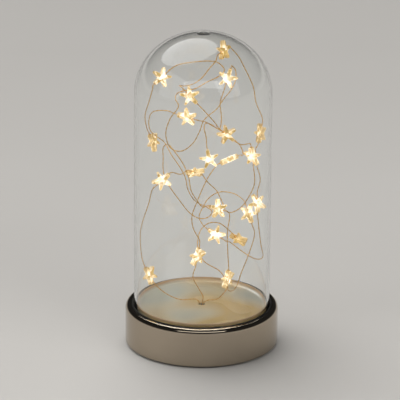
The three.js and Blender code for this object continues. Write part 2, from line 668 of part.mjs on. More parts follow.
// Routes of the three light wires, measured from the tray's floor at the middle of the wire hole.
// A fourth number marks a star cap there: its turn about the wire, in degrees from facing the front.
// A fifth number marks a star whose wire tip points back along the wire.
const routes = {
  light_wire_a: [
    [-1.3, 0.4, -WIRE_TAIL], [-1.3, 0.4, 0], [-4, 1, 3], [-16, 3, 2], [-25, 6, 4], [-33, 5, 10],
    [-41, 2, 23, 60], [-47, -2, 39], [-48, -4, 61], [-41, -14, 89], [-31, -22, 110, 10], [-17, -14, 112.5],
    [-6, 2, 108.5, 35], [4, 12, 97], [11, 12, 90], [15.5, 8, 82], [20, 0, 76.5], [29, -6, 82], [36, -9, 93],
    [40, -11, 105], [38, -10, 126, -42], [36, -13, 137.5], [29.5, -17, 138], [18, -24, 148.5, 10, 1], [9, -25.5, 158.5],
    [-10, -24, 179, 0, 1], [-18, -20, 186], [-14.5, -16.5, 184.5], [-10, -14, 184.5], [-5, -11, 186], [0, -6, 189],
    [4.5, -2, 194], [9.5, 2, 199], [15.5, 12, 204.5, 6], [21.5, 22, 203.5], [27, 21, 197.5],
    [32.5, 17, 188], [39, 11, 175], [41, 7, 164.5], [46, 3.5, 153], [44.5, 2, 141, 70], [41, 3.5, 127],
    [42, 3, 115], [45, 3, 102.5], [43, 2, 83.5, 35], [46, 0, 50], [48, 4, 38], [42, 16, 32], [31, 29, 34],
    [22, 29, 41], [11, 24, 49, 0], [0, 29, 56], [-2.5, 34, 60], [1.5, 38, 69], [5, 40.5, 73.5],
    [11.5, 42, 77.5], [17, 42, 78.5], [25, 38, 78.5], [29.5, 33.5, 77.5], [33, 26, 77], [36.5, 14, 70.5, 25], [41.5, 14, 53.5],
    [37.5, 18, 36], [31.5, 26, 16], [28, 28.5, 4], [25, 25, 1.5], [21.5, 18, 4], [20, 9, 12], [18, 4, 20],
    [14, 1, 27], [1.5, -5, 37.5], [-3, -5.5, 46], [-3.4, -4, 54.5], [-1, 2, 61], [5.9, 10, 64],
    [14, 14, 62], [21.5, 17, 55], [29, 21, 46.5, 45],
  ],
  light_wire_b: [
    [0.6, 1.2, -WIRE_TAIL], [0.6, 1.2, 0], [1, 0, 6], [-2, -3, 13], [-7, -8, 26], [-3.5, -12, 44, 45],
    [-2, -14, 58], [-7, -13, 68], [-8, -12, 77], [-4, -13, 90], [3.5, -15, 109], [9.5, -14.5, 118.5],
    [20, -12, 124, 69], [31, -9, 126.5], [29, -9, 134], [24, -8, 139], [18, -8, 143.5],
    [11, -10, 148.5], [5.5, -14, 153.5], [1.5, -18, 155], [1, -20, 151.5], [2.5, -22, 145.5],
    [3, -23.5, 138.5], [5, -26, 129, 0, 1],
  ],
  light_wire_c: [
    [0.8, -1, -WIRE_TAIL], [0.8, -1, 0], [4, -1, 3], [12, -3, 5], [17, -6, 11], [20, -8, 24, 60],
    [20, -12, 47], [19.5, -17, 67], [21, -18.5, 80.5], [12, -24, 88, 30], [0.5, -29, 91], [-4.6, -31, 98],
    [-8.6, -31, 105], [-10.5, -30, 115], [-14, -27.5, 124], [-21, -19, 132], [-27, -10, 135.5],
    [-30.5, -5, 131], [-30.5, -6, 123], [-30, -13.5, 113.5], [-26, -15, 104], [-17.5, -17, 92],
    [-9.5, -19, 82.5], [-2, -20, 78.5], [5, -19, 79.5], [7.5, -18.5, 83.5], [3.5, -20.5, 88], [-2.5, -25, 92.5],
    [-7, -27, 97], [-11.2, -27, 105], [-13.3, -26, 114.5], [-17.5, -22.5, 121.5], [-24, -13, 128],
    [-30, 0, 134], [-36, -1, 139], [-40.5, -5, 145], [-41.5, -9, 153.5], [-38, -17, 164], [-27, -23.5, 167],
    [-12, -28, 163.5, 20, 1], [1, -29, 160.5], [8, -24, 155], [13, -15.5, 150.5], [14, -15.5, 160],
    [13, -17, 171], [18.5, -20, 192, -10], [21.5, -14, 200], [24.5, -10, 195], [24.5, -12, 188],
    [21.5, -20, 183.5], [15, -30, 178], [10.5, -36, 173], [1, -41, 166], [-2.5, -39.5, 156],
    [-7.5, -38, 146], [-16, -36, 139], [-24, -33, 140], [-28, -31, 150], [-25, -32, 163], [-18.5, -32, 173.5],
    [-21, -27, 177.5], [-19.5, -20.5, 180], [-14, -17, 181], [-6.5, -14, 181.5], [2.5, -13, 186.5], [12.5, -12, 191.5],
    [16, -10.5, 195.5], [11.5, -8.5, 200.5], [4.5, -7, 201.5], [-10, -6, 200], [-19.5, -4.5, 197.5], [-31.5, -14, 190.5, 0],
    [-38, -20, 184], [-41, -14, 171.5], [-44.5, -6, 156.5], [-43, 2, 143], [-38.5, 6, 132, -65, 1],
  ],
};

// Works out one wire: the curve, its stars' places and axes, and its rings with the cast LED beads.
function layWire(route) {
  const points = [];
  const stars = [];
  route.forEach(([x, y, z, turn, tipBack], i) => {
    const place = new THREE.Vector3(x, y, z);
    if (turn === undefined) {
      points.push(place);
      return;
    }
    const before = new THREE.Vector3(...route[i - 1]);
    const isLast = i === route.length - 1;
    const after = isLast ? place : new THREE.Vector3(...route[i + 1]);
    const axis = after.clone().sub(before).normalize();
    const reach = isLast ? [-STRAIGHT_FAR, -STRAIGHT_NEAR, 0, BEAD_LENGTH / 2]
      : [-STRAIGHT_FAR, -STRAIGHT_NEAR, 0, STRAIGHT_NEAR, STRAIGHT_FAR];
    stars.push({ place, axis, turn, tipBack, isLast, index: points.length + 2 });
    for (const distance of reach) points.push(place.clone().addScaledVector(axis, distance));
  });
  const curve = new THREE.CatmullRomCurve3(points, false, 'centripetal');
  const spans = points.length - 1;
  const fine = 24;
  const lengths = [0];
  let previous = curve.getPoint(0);
  for (let i = 1; i <= spans * fine; i += 1) {
    const next = curve.getPoint(i / (spans * fine));
    lengths.push(lengths[i - 1] + next.distanceTo(previous));
    previous = next;
  }
  const total = lengths[lengths.length - 1];
  const shareAt = (along) => {
    let i = lengths.findIndex((length) => length >= along);
    i = THREE.MathUtils.clamp(i, 1, lengths.length - 1);
    return (i - 1 + (along - lengths[i - 1]) / (lengths[i] - lengths[i - 1])) / (spans * fine);
  };
  const beads = stars.map(({ index }) => lengths[index * fine]);
  const places = [[0, WIRE_RADIUS]];
  const nearBead = (along) => beads.some((bead) => Math.abs(along - bead) < BEAD_LENGTH);
  const turnLimit = THREE.MathUtils.degToRad(WIRE_TURN);
  let ringAt = 0;
  let ringTangent = curve.getTangent(0);
  for (let i = 1; i < spans * fine; i += 1) {
    const tangent = curve.getTangent(i / (spans * fine));
    if (lengths[i] - ringAt < WIRE_STEP && tangent.angleTo(ringTangent) < turnLimit) continue;
    if (!nearBead(lengths[i])) places.push([lengths[i], WIRE_RADIUS]);
    ringAt = lengths[i];
    ringTangent = tangent;
  }
  for (const bead of beads) {
    const beadEnd = Math.min(bead + BEAD_LENGTH / 2, total);
    places.push([bead - BEAD_LENGTH / 2, WIRE_RADIUS], [bead - BEAD_LENGTH / 4, BEAD_RADIUS]);
    places.push([bead + BEAD_LENGTH / 4, BEAD_RADIUS], [beadEnd, WIRE_RADIUS]);
  }
  places.sort((one, two) => one[0] - two[0]);
  const rings = places.map(([along, radius]) => {
    const share = THREE.MathUtils.clamp(shareAt(along), 0, 1);
    return { middle: curve.getPoint(share), tangent: curve.getTangent(share), radius, along };
  });
  return { stars, rings, total };
}

// Star cap: a five-pointed prism. The bead goes in at a notch, and the wire goes out at the blunt tip.
function starCap(hasWireTip) {
  const corners = [];
  for (let i = 0; i < STAR_POINTS; i += 1) {
    const tip = Math.PI / 2 + (2 * Math.PI * i) / STAR_POINTS;
    const width = i === 0 ? STAR_TIP_WIDTH : STAR_POINT_WIDTH;
    const across = new THREE.Vector2(-Math.sin(tip), Math.cos(tip)).multiplyScalar(width / 2);
    const end = new THREE.Vector2(Math.cos(tip), Math.sin(tip)).multiplyScalar(STAR_RADIUS);
    const notch = tip + Math.PI / STAR_POINTS;
    corners.push(end.clone().sub(across), end.clone().add(across));
    corners.push(new THREE.Vector2(Math.cos(notch), Math.sin(notch)).multiplyScalar(STAR_NOTCH_RADIUS));
  }
  const drawn = new THREE.Shape(corners);
  const prism = new THREE.ExtrudeGeometry(drawn, { depth: STAR_THICKNESS, bevelEnabled: false });
  let star = toSolid(prism.translate(0, 0, -STAR_THICKNESS / 2));
  const boreTop = BEAD_LENGTH / 2 + SEAT_GAP;
  const bore = new THREE.CylinderGeometry(
    BEAD_RADIUS + SEAT_GAP, BEAD_RADIUS + SEAT_GAP, STAR_RADIUS + boreTop, SMALL_ROUND / 2,
  );
  star = star.subtract(toSolid(bore.translate(0, (boreTop - STAR_RADIUS) / 2, 0)));
  if (hasWireTip) {
    const hole = new THREE.CylinderGeometry(
      WIRE_RADIUS + WIRE_PLAY, WIRE_RADIUS + WIRE_PLAY, 2 * STAR_RADIUS, SMALL_ROUND / 2,
    );
    star = star.subtract(toSolid(hole.translate(0, STAR_RADIUS, 0)));
  }
  return toGeometry(star);
}
const passingStar = starCap(true);
const endStar = starCap(false);

// The light string stands on the tray.
const lightString = new THREE.Group();
lightString.position.z = trayFloor;
part.add(lightString);
const front = new THREE.Vector3(0, -1, 0);
const wires = Object.entries(routes).map(([name, route]) => ({ name, ...layWire(route) }));
let starNumber = 0;
for (const { name, stars, rings, total } of wires) {
  lightString.add(piece(name, tube(rings, WIRE_SIDES), copper));
  const gap = Math.min(...wires.map((other) => leastGap(rings, other.rings, 3 * WIRE_STEP)));
  console.log(`${name}: ${total.toFixed(0)} mm long, least gap to the light wires ${gap.toFixed(2)} mm`);
  for (const { place, axis, turn, tipBack, isLast } of stars) {
    starNumber += 1;
    const starName = `star_${String(starNumber).padStart(2, '0')}`;
    const face = front.clone().addScaledVector(axis, -front.dot(axis)).normalize();
    face.applyAxisAngle(axis, THREE.MathUtils.degToRad(turn));
    const tipWay = axis.clone().multiplyScalar(tipBack ? -1 : 1);
    const across = new THREE.Vector3().crossVectors(tipWay, face);
    const star = piece(starName, isLast && !tipBack ? endStar : passingStar, starAcrylic);
    star.quaternion.setFromRotationMatrix(new THREE.Matrix4().makeBasis(across, tipWay, face));
    star.position.copy(place);
    lightString.add(star);
  }
}

export default part;
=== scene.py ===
"""Looks of the LED glass dome light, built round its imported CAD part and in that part's frame.

Sizes are in millimetres and turn to metres where Blender takes them. Those of the stage are in metres.
"""

import bmesh
import bpy
import numpy as np
from mathutils import Matrix


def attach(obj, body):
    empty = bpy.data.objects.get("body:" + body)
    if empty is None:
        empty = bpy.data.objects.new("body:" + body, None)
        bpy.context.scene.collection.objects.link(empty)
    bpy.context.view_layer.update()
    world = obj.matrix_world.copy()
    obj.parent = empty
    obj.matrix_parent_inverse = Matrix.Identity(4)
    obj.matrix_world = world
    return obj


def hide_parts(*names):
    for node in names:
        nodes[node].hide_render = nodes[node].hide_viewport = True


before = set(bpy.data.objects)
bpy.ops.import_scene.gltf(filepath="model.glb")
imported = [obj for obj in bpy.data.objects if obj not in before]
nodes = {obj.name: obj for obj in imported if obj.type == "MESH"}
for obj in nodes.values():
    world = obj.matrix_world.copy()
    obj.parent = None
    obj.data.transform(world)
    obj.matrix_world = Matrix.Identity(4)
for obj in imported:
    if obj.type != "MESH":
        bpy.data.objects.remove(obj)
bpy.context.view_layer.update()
MM = 0.001

# Camera: the photograph's view, in degrees, millimetres and the pixels of a 400 by 400 picture
PICTURE = 400
ELEVATION = 19.705
DISTANCE = 2592.55
AIM_HEIGHT = 120
FOCAL = 3333.19
AXIS_AT = (202.438, 196.673)  # the pixel that the lens looks straight at
ROLL = 0.411
SENSOR = 36

# Gaps shared with the CAD part
SEAT_GAP = 0.3  # between two pieces that touch
PLUG_GAP = 0.65  # dome's inside to the plug that centres it
TRAY_GAP = 0.35  # tray's rim to the dome's inside
WIRE_PLAY = 0.4  # light wire to the hole in a star's tip

# Sizes of the dome and the base, shared with the CAD part
DOME_RADIUS = 53.25
DOME_WALL = 2
DOME_STRAIGHT = 178.8  # height of the straight wall
CROWN_RISE = 48.1
PIP_RADIUS = 3.5
PIP_RISE = 0.5
GASKET_WIDTH = 1.45
GASKET_PROUD = 0.5  # above the housing's crest
CREST_WIDTH = 1.3
CREST_ABOVE_TRAY = 0.8
SHOULDER_WIDTH = 3.4
SHOULDER_RISE = 3.8
HOUSING_BOTTOM = 1.5
HOUSING_WALL = 2.4
HOUSING_SKIN = 2
GROOVE_DEPTH = 6.1
SHELF_WIDTH = 6.6
TRAY_FLOOR = 31
TRAY_THICKNESS = 1
TRAY_RIM = 0.6
COVE_WIDTH = 3
COVE_RISE = 3
WIRE_HOLE_RADIUS = 2.8

# Sizes of the light string, shared with the CAD part
WIRE_DIAMETER = 0.9
WIRE_TAIL = 6  # wire below the tray's floor
BEAD_LENGTH = 4.4
BEAD_RADIUS = 1
STRAIGHT_NEAR = 6  # the wire runs straight through a star for this far
STRAIGHT_FAR = 9.5  # from its middle, and bends away from here on
STAR_POINTS = 5
STAR_RADIUS = 7.7
STAR_NOTCH_RADIUS = 2.9
STAR_TIP_WIDTH = 2.3  # the tip that the wire goes through
STAR_POINT_WIDTH = 1.3  # the other four
STAR_THICKNESS = 4.2

# Heights that follow from them
CREST_Z = TRAY_FLOOR + CREST_ABOVE_TRAY
SHOULDER_Z = CREST_Z - SHOULDER_RISE
GROOVE_FLOOR = CREST_Z - GROOVE_DEPTH
GROOVE_UNDER = GROOVE_FLOOR - HOUSING_SKIN
DOME_FOOT = GROOVE_FLOOR + SEAT_GAP
STRAIGHT_TOP = DOME_FOOT + DOME_STRAIGHT
DOME_TOP = STRAIGHT_TOP + CROWN_RISE
TRAY_UNDER = TRAY_FLOOR - TRAY_THICKNESS
TRAY_TOP = TRAY_FLOOR + COVE_RISE
SHELF_TOP = TRAY_UNDER - SEAT_GAP
SHELF_UNDER = SHELF_TOP - HOUSING_SKIN

# Radii that follow from them
DOME_INNER = DOME_RADIUS - DOME_WALL
GASKET_INNER = DOME_RADIUS + SEAT_GAP
GASKET_OUTER = GASKET_INNER + GASKET_WIDTH
GROOVE_OUTER = GASKET_OUTER + SEAT_GAP
CREST_OUTER = GROOVE_OUTER + CREST_WIDTH
BASE_RADIUS = CREST_OUTER + SHOULDER_WIDTH
WALL_INNER = BASE_RADIUS - HOUSING_WALL
PLUG_OUTER = DOME_INNER - PLUG_GAP
PLUG_INNER = PLUG_OUTER - HOUSING_SKIN
SHELF_INNER = PLUG_OUTER - SHELF_WIDTH
TRAY_OUTER = DOME_INNER - TRAY_GAP
COVE_OUTER = TRAY_OUTER - TRAY_RIM
COVE_INNER = COVE_OUTER - COVE_WIDTH

# Fine forms that only the looks have: roundings, the pip's slope and the wires' twisted strands
DOME_FOOT_ROUND = 0.8
CROWN_LEAD = 1  # straight wall left between the foot's outline and the crown's arc
CROWN_END = 85.1  # degrees round the crown's arc, where the pip begins
PIP_SIDE = 0.1  # height of the pip's outer edge above the crown
PIP_TOP_RADIUS = 2.6
PIP_SIDE_ROUND = 0.5
PIP_TOP_ROUND = 0.6
WALL_EDGE_ROUND = 0.4
BOTTOM_EDGE_ROUND = 0.9
CREST_ROUND = 0.5
EDGE_ROUND = 0.3
GASKET_FOOT_ROUND = 0.2
TRAY_EDGE_ROUND = 0.4
RIM_ROUND = 0.25
STRAND_PITCH = 7.5  # length of wire in one turn of the pair
STRAND_OVERLAP = 1.04  # above 1, so that the two strands touch

# A star cap's face from its middle out: share of the outline, and depth below the face's highest point
STAR_FACE = ((0, 0), (0.3, 0.01), (0.6, 0.05), (0.88, 0.12), (0.95, 0.2), (0.985, 0.4), (1, 0.7))

# How near to a rounded edge a star's surface is at these depths, for its painted edge highlight, and the
# depths over which its rim begins, painted darker as shade
EDGE_DEPTHS = (0.1, 0.2, 0.4, 0.7, 0.8)
EDGE_HIGHLIGHT = (0, 0.7, 1, 0.5, 0)
RIM_SHADE_DEPTHS = (0.6, 0.75)

# Heights above the tray's floor over which the cove's warmer tint, a painted reflection of the string's
# warm light, sets in
COVE_GLOW = (0.2, 2)

# How far a star's light fades from its middle to its tips, and by how much more with a chip that gives none
FADE_TO_TIP = 0.5
FADE_UNLIT = 0.45

# Brightness of the star caps whose chip is dimmer than the rest
DIM_STARS = {
    "star_01": 0.8, "star_03": 0.6, "star_05": 0.55, "star_07": 0.65, "star_08": 0.5, "star_12": 0.45,
    "star_16": 0.85, "star_21": 0.6,
}

# Fineness of the meshes: counts, and the step along a wire
TURN_STEPS = 180
CROWN_STEPS = 48
ROUND_STEPS = 24
GASKET_STEPS = 14
SPAN_STEPS = 40  # between two points of a route
PATH_STEP = 1.1
STRAND_SIDES = 8
BEAD_SIDES = 12
BEAD_RINGS = 17
STAR_EDGE_STEPS = 8
BORE_SIDES = 24

# A direction that no wire runs along, to measure turns about a wire from
ANY_WAY = (0.31, 0.52, 0.8)
ABOVE_TRAY = np.array([0, 0, TRAY_FLOOR])

# Stage, in metres and degrees. A lamp has a place, a size and a power. The one without a size is a broad
# far-off light.
PALE = (0.56, 0.54, 0.51)
FLOOR_REACH = 12
LAMP_AIM = (0, 0, 0.12)
KEY_SPREAD = 60
LAMPS = {
    "key_lamp": ((-0.6, 1.0, 2.0), None, 2.4),
    "fill_lamp": ((1.4, -1.2, 1.2), (1.4, 1.4), 12),
    "side_lamp": ((-1.5, -0.8, 1.0), (1.4, 1.4), 11),
    "front_lamp": ((0, -1.45, 1.5), (2.4, 0.5), 6),
}

# Routes of the three light wires from the tray's floor, as in the CAD part. A fourth number marks a star
# cap there: its turn about the wire, in degrees from facing the front. A fifth number means that the cap's
# blunt tip points back along the wire.
ROUTES = {
    "light_wire_a": [
        (-1.3, 0.4, -WIRE_TAIL), (-1.3, 0.4, 0), (-4, 1, 3), (-16, 3, 2), (-25, 6, 4), (-33, 5, 10),
        (-41, 2, 23, 60), (-47, -2, 39), (-48, -4, 61), (-41, -14, 89), (-31, -22, 110, 10),
        (-17, -14, 112.5), (-6, 2, 108.5, 35), (4, 12, 97), (11, 12, 90), (15.5, 8, 82), (20, 0, 76.5),
        (29, -6, 82), (36, -9, 93), (40, -11, 105), (38, -10, 126, -42), (36, -13, 137.5),
        (29.5, -17, 138), (18, -24, 148.5, 10, 1), (9, -25.5, 158.5), (-10, -24, 179, 0, 1),
        (-18, -20, 186), (-14.5, -16.5, 184.5), (-10, -14, 184.5), (-5, -11, 186), (0, -6, 189),
        (4.5, -2, 194), (9.5, 2, 199), (15.5, 12, 204.5, 6), (21.5, 22, 203.5), (27, 21, 197.5),
        (32.5, 17, 188), (39, 11, 175), (41, 7, 164.5), (46, 3.5, 153), (44.5, 2, 141, 70),
        (41, 3.5, 127), (42, 3, 115), (45, 3, 102.5), (43, 2, 83.5, 35), (46, 0, 50), (48, 4, 38),
        (42, 16, 32), (31, 29, 34), (22, 29, 41), (11, 24, 49, 0), (0, 29, 56), (-2.5, 34, 60),
        (1.5, 38, 69), (5, 40.5, 73.5), (11.5, 42, 77.5), (17, 42, 78.5), (25, 38, 78.5),
        (29.5, 33.5, 77.5), (33, 26, 77), (36.5, 14, 70.5, 25), (41.5, 14, 53.5), (37.5, 18, 36),
        (31.5, 26, 16), (28, 28.5, 4), (25, 25, 1.5), (21.5, 18, 4), (20, 9, 12), (18, 4, 20),
        (14, 1, 27), (1.5, -5, 37.5), (-3, -5.5, 46), (-3.4, -4, 54.5), (-1, 2, 61), (5.9, 10, 64),
        (14, 14, 62), (21.5, 17, 55), (29, 21, 46.5, 45),
    ],
    "light_wire_b": [
        (0.6, 1.2, -WIRE_TAIL), (0.6, 1.2, 0), (1, 0, 6), (-2, -3, 13), (-7, -8, 26), (-3.5, -12, 44, 45),
        (-2, -14, 58), (-7, -13, 68), (-8, -12, 77), (-4, -13, 90), (3.5, -15, 109), (9.5, -14.5, 118.5),
        (20, -12, 124, 69), (31, -9, 126.5), (29, -9, 134), (24, -8, 139), (18, -8, 143.5),
        (11, -10, 148.5), (5.5, -14, 153.5), (1.5, -18, 155), (1, -20, 151.5), (2.5, -22, 145.5),
        (3, -23.5, 138.5), (5, -26, 129, 0, 1),
    ],
    "light_wire_c": [
        (0.8, -1, -WIRE_TAIL), (0.8, -1, 0), (4, -1, 3), (12, -3, 5), (17, -6, 11), (20, -8, 24, 60),
        (20, -12, 47), (19.5, -17, 67), (21, -18.5, 80.5), (12, -24, 88, 30), (0.5, -29, 91),
        (-4.6, -31, 98), (-8.6, -31, 105), (-10.5, -30, 115), (-14, -27.5, 124), (-21, -19, 132),
        (-27, -10, 135.5), (-30.5, -5, 131), (-30.5, -6, 123), (-30, -13.5, 113.5), (-26, -15, 104),
        (-17.5, -17, 92), (-9.5, -19, 82.5), (-2, -20, 78.5), (5, -19, 79.5), (7.5, -18.5, 83.5),
        (3.5, -20.5, 88), (-2.5, -25, 92.5), (-7, -27, 97), (-11.2, -27, 105), (-13.3, -26, 114.5),
        (-17.5, -22.5, 121.5), (-24, -13, 128), (-30, 0, 134), (-36, -1, 139), (-40.5, -5, 145),
        (-41.5, -9, 153.5), (-38, -17, 164), (-27, -23.5, 167), (-12, -28, 163.5, 20, 1), (1, -29, 160.5),
        (8, -24, 155), (13, -15.5, 150.5), (14, -15.5, 160), (13, -17, 171), (18.5, -20, 192, -10),
        (21.5, -14, 200), (24.5, -10, 195), (24.5, -12, 188), (21.5, -20, 183.5), (15, -30, 178),
        (10.5, -36, 173), (1, -41, 166), (-2.5, -39.5, 156), (-7.5, -38, 146), (-16, -36, 139),
        (-24, -33, 140), (-28, -31, 150), (-25, -32, 163), (-18.5, -32, 173.5), (-21, -27, 177.5),
        (-19.5, -20.5, 180), (-14, -17, 181), (-6.5, -14, 181.5), (2.5, -13, 186.5), (12.5, -12, 191.5),
        (16, -10.5, 195.5), (11.5, -8.5, 200.5), (4.5, -7, 201.5), (-10, -6, 200), (-19.5, -4.5, 197.5),
        (-31.5, -14, 190.5, 0), (-38, -20, 184), (-41, -14, 171.5), (-44.5, -6, 156.5), (-43, 2, 143),
        (-38.5, 6, 132, -65, 1),
    ],
}


def unit(vectors):
    return vectors / np.linalg.norm(vectors, axis=-1, keepdims=True)


def add_camera():
    """The photograph's camera: it looks along +Y and down by ELEVATION at a point on the dome's axis."""
    tilt = np.radians(ELEVATION)
    roll = np.radians(ROLL)
    forward = np.array([0, np.cos(tilt), -np.sin(tilt)])
    up = np.array([0, np.sin(tilt), np.cos(tilt)])
    right = np.array([1.0, 0, 0])
    place = np.array([0, 0, AIM_HEIGHT]) - DISTANCE * forward
    across = right * np.cos(roll) + up * np.sin(roll)
    rise = up * np.cos(roll) - right * np.sin(roll)
    matrix = np.eye(4)
    matrix[:3, :3] = np.stack([across, rise, -forward], axis=1)
    matrix[:3, 3] = place * MM
    data = bpy.data.cameras.new("camera")
    data.sensor_width = SENSOR
    data.lens = SENSOR * FOCAL / PICTURE
    data.shift_x = (PICTURE / 2 - AXIS_AT[0]) / PICTURE
    data.shift_y = (AXIS_AT[1] - PICTURE / 2) / PICTURE
    camera = bpy.data.objects.new("camera", data)
    camera.matrix_world = Matrix(matrix.tolist())
    bpy.context.collection.objects.link(camera)
    bpy.context.scene.camera = camera


class Socket:
    """An output socket that takes part in Python arithmetic: each operator adds one Math node."""

    def __init__(self, finish, socket):
        self.finish = finish
        self.socket = socket

    def math(self, operation, other):
        return self.finish.node("ShaderNodeMath", {"operation": operation}, {0: self, 1: other})

    def __add__(self, other):
        return self.math("ADD", other)

    def __sub__(self, other):
        return self.math("SUBTRACT", other)

    def __mul__(self, other):
        return self.math("MULTIPLY", other)

    __radd__ = __add__
    __rmul__ = __mul__


class Finish:
    """A material, or the world. node() adds any node: its type, settings, and sockets' values or links."""

    def __init__(self, name, kind=bpy.data.materials):
        self.material = kind.new(name)
        self.material.use_nodes = True
        self.tree = self.material.node_tree
        self.tree.nodes.clear()

    def node(self, kind, settings=None, sockets=None, output=0):
        node = self.tree.nodes.new(kind)
        for key, value in (settings or {}).items():
            setattr(node, key, value)
        for key, value in (sockets or {}).items():
            if isinstance(value, Socket):
                self.tree.links.new(value.socket, node.inputs[key])
            else:
                node.inputs[key].default_value = value
        return Socket(self, node.outputs[output]) if node.outputs else node

    def place(self):
        return self.node("ShaderNodeTexCoord", output="Object")

    def part(self, vector, axis):
        """A vector's X, Y or Z."""
        return self.node("ShaderNodeSeparateXYZ", None, {0: vector}, output=axis)

    def noise(self, scale, detail, stretch=None):
        """Fractal noise of the given scale per metre, stretched along the object's axes."""
        where = self.place()
        if stretch:
            where = self.node("ShaderNodeMapping", None, {"Vector": where, "Scale": stretch})
        return self.node("ShaderNodeTexNoise", None, {"Vector": where, "Scale": scale, "Detail": detail})

    def mix(self, share, low, high):
        """A colour from low to high."""
        colours = {0: share, 6: low if isinstance(low, Socket) else (*low, 1)}
        colours[7] = high if isinstance(high, Socket) else (*high, 1)
        return self.node("ShaderNodeMix", {"data_type": "RGBA"}, colours, output=2)

    def ramp(self, share, stops):
        """A colour from a ramp of stops, each a position and its colour."""
        colour = self.node("ShaderNodeValToRGB", None, {"Fac": share})
        elements = colour.socket.node.color_ramp.elements
        while len(elements) < len(stops):
            elements.new(0.5)
        for element, (position, tone) in zip(elements, stops):
            element.position = position
            element.color = (*tone, 1)
        return colour

    def bump(self, height, distance, strength):
        sockets = {"Height": height, "Distance": distance, "Strength": strength}
        return self.node("ShaderNodeBump", None, sockets)

    def surface(self, **sockets):
        """Joins a Principled surface to the output. A socket's spaces are written as underscores."""
        values = {}
        for key, value in sockets.items():
            if isinstance(value, tuple) and len(value) == 3:
                value = (*value, 1)
            values[key.replace("_", " ").title().replace("Ior", "IOR")] = value
        shader = self.node("ShaderNodeBsdfPrincipled", None, values)
        self.node("ShaderNodeOutputMaterial", None, {"Surface": shader})
        return self.material


def chrome_plate():
    """Polished metal whose dark warm tone is partly its own and partly a painted reflection of warm brown
    surroundings, with a soft haze from handling, and the slight ripple of a spun shell.
    """
    finish = Finish("chrome_plate")
    haze = finish.noise(scale=14, detail=4)
    smudge = finish.noise(scale=55, detail=5)
    ripple = finish.noise(scale=20, detail=2, stretch=(1, 1, 0.3))
    # the dark warm tone is partly a painted reflection of warm brown surroundings; the haze varies it
    return finish.surface(
        base_color=finish.mix(haze, (0.36, 0.30, 0.23), (0.50, 0.43, 0.34)),
        metallic=1.0,
        roughness=0.03 + 0.08 * smudge,
        normal=finish.bump(ripple, distance=0.0002, strength=0.12),
    )


def clear_glass():
    """Clear moulded glass: a slow ripple in its thickness, and faint smears."""
    finish = Finish("clear_glass")
    smear = finish.noise(scale=40, detail=4, stretch=(1, 1, 0.4))
    ripple = finish.noise(scale=18, detail=1, stretch=(1, 1, 0.5))
    return finish.surface(
        base_color=(0.985, 0.995, 0.99),
        roughness=0.03 * smear,
        ior=1.46,
        transmission_weight=1.0,
        normal=finish.bump(ripple, distance=0.0006, strength=0.06),
    )


def gasket_rubber():
    """Black rubber with a fine grain and a little dust."""
    finish = Finish("gasket_rubber")
    grain = finish.noise(scale=700, detail=3)
    dust = finish.noise(scale=60, detail=4)
    return finish.surface(
        base_color=finish.mix(dust, (0.012, 0.012, 0.012), (0.035, 0.033, 0.03)),
        roughness=0.42 + 0.2 * dust,
        normal=finish.bump(grain, distance=0.00006, strength=0.5),
    )


def tray_mirror():
    """Glossy pale cream lacquer, with a painted reflection of the string's warm light in cloudy patches:
    pale cream at the back, gold to the front, warmer up the cove.
    """
    finish = Finish("tray_mirror")
    cloud = finish.noise(scale=24, detail=0)
    depth = finish.part(finish.place(), "Y")
    height = finish.part(finish.place(), "Z")
    # painted reflection of the string's warm light: cloudy patches that turn gold toward the front
    floor_painted_glow = finish.ramp(
        cloud - 3.2 * depth,
        [(0.3, (0.86, 0.86, 0.72)), (0.45, (1.0, 0.90, 0.66)), (0.62, (1.0, 0.72, 0.30))],
    )
    cove_glow_span = {"From Min": (TRAY_FLOOR + COVE_GLOW[0]) * MM, "From Max": (TRAY_FLOOR + COVE_GLOW[1]) * MM}
    # painted reflection of the string's warm light: a warmer tint up the cove
    cove = finish.node("ShaderNodeMapRange", None, {"Value": height, **cove_glow_span})
    return finish.surface(
        base_color=finish.mix(cove, floor_painted_glow, (0.90, 0.60, 0.32)),
        roughness=0.15 + 0.2 * cloud,
        coat_weight=1.0,
        coat_roughness=0.04,
        coat_ior=1.6,
    )


def copper_wire():
    """Lacquered copper: warm metal whose tone and shine vary along its length."""
    finish = Finish("copper_wire")
    tarnish = finish.noise(scale=240, detail=4)
    return finish.surface(
        base_color=finish.mix(tarnish, (0.68, 0.36, 0.08), (1.0, 0.66, 0.22)),
        metallic=0.4,
        roughness=0.22 + 0.25 * tarnish,
        coat_weight=0.4,
    )


def led_bead():
    """A drop of clear resin over a lit chip, with a slightly uneven glow."""
    finish = Finish("led_bead")
    patch = finish.noise(scale=900, detail=1)
    return finish.surface(
        base_color=(1.0, 0.95, 0.85),
        roughness=0.1,
        emission_color=finish.mix(patch, (1.0, 0.90, 0.70), (1.0, 0.98, 0.92)),
        emission_strength=6.0,
    )


